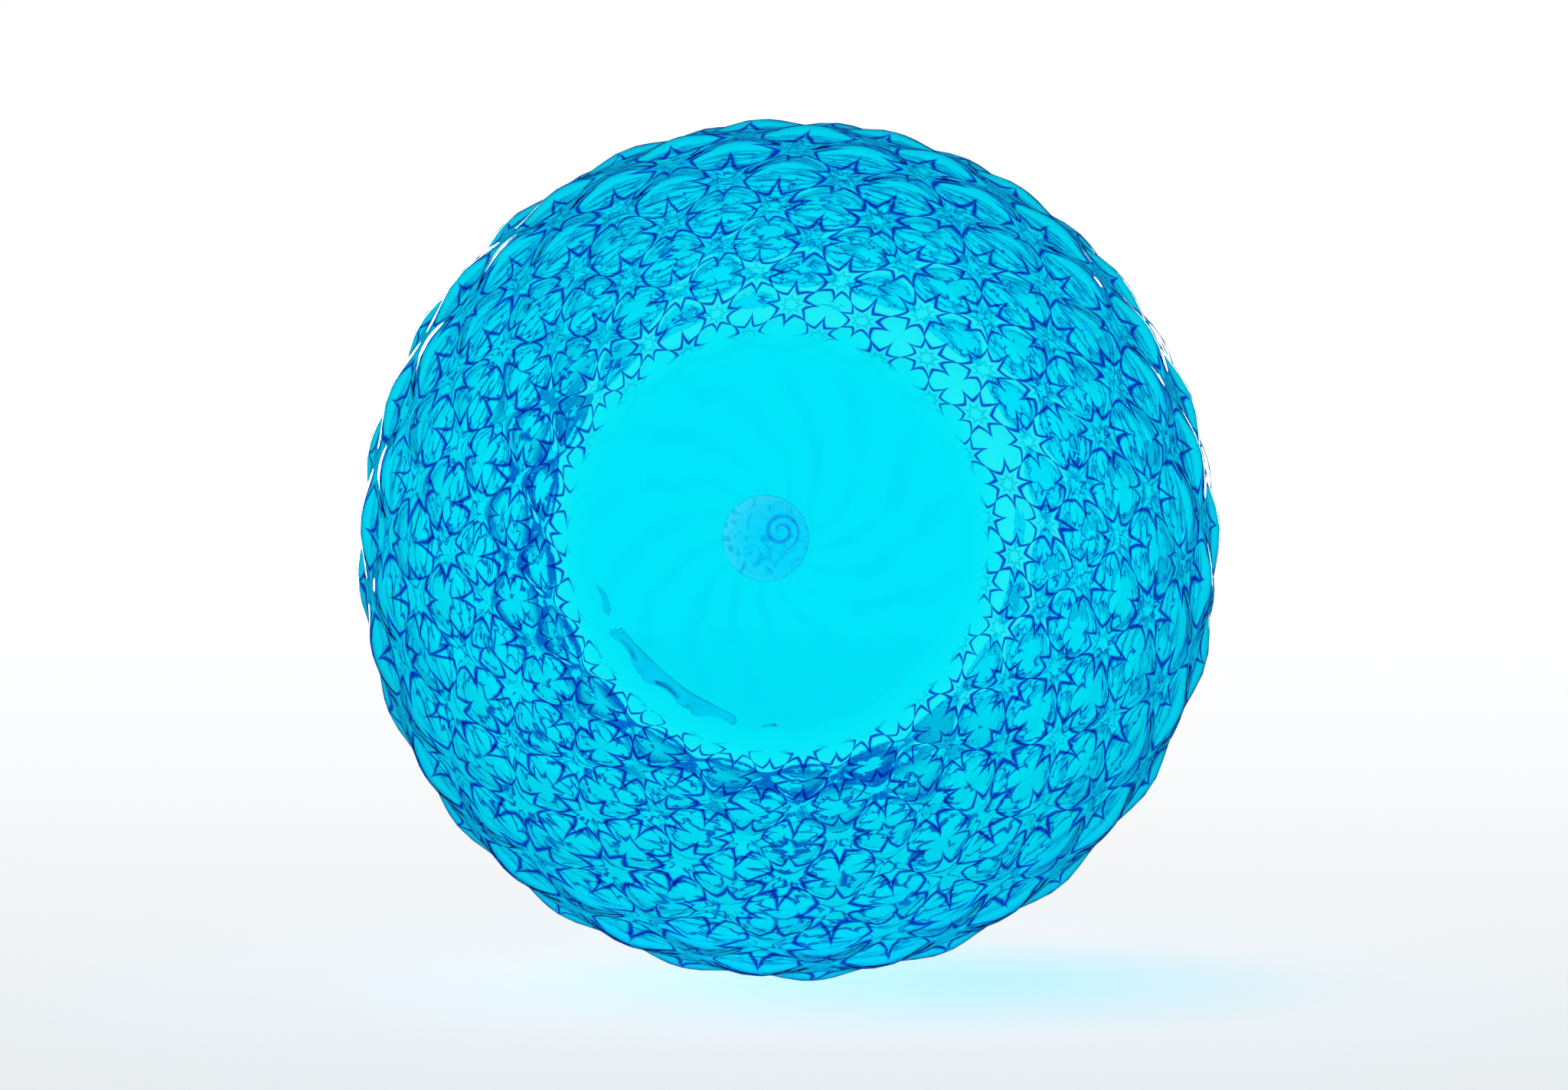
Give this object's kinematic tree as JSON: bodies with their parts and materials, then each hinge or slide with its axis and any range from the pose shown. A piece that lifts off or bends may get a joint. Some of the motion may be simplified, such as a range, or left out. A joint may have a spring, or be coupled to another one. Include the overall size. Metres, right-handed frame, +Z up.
{
  "type": "glass bowl",
  "caption": "Squat ball-shaped bowl of clear aqua-blue blown glass with a quilted diamond pattern, a wide rounded mouth, and a hollowed base with a pontil seal.",
  "frame": {"origin": "on the table that the bowl stands on, under the middle of the belly; the base and the mouth lie 9 mm to one side of it, as blown", "axes": "+Z up through the mouth, square to the standing ring; the base and the mouth lie towards 104 degrees from +X"},
  "size_m": [0.2389, 0.2389, 0.164],
  "materials": {
    "blown_glass": "clear aqua-blue glass, fire-polished, quilted outside and inside",
    "seal_glass": "clear aqua-blue glass, broken edge smoothed by fire",
    "curl_glass": "clear aqua-blue glass drawn out into a thread"
  },
  "bodies": {
    "root": {"blown_body": "blown_glass", "pontil_seal": "seal_glass", "seal_curl": "curl_glass"}
  },
  "joints": []
}
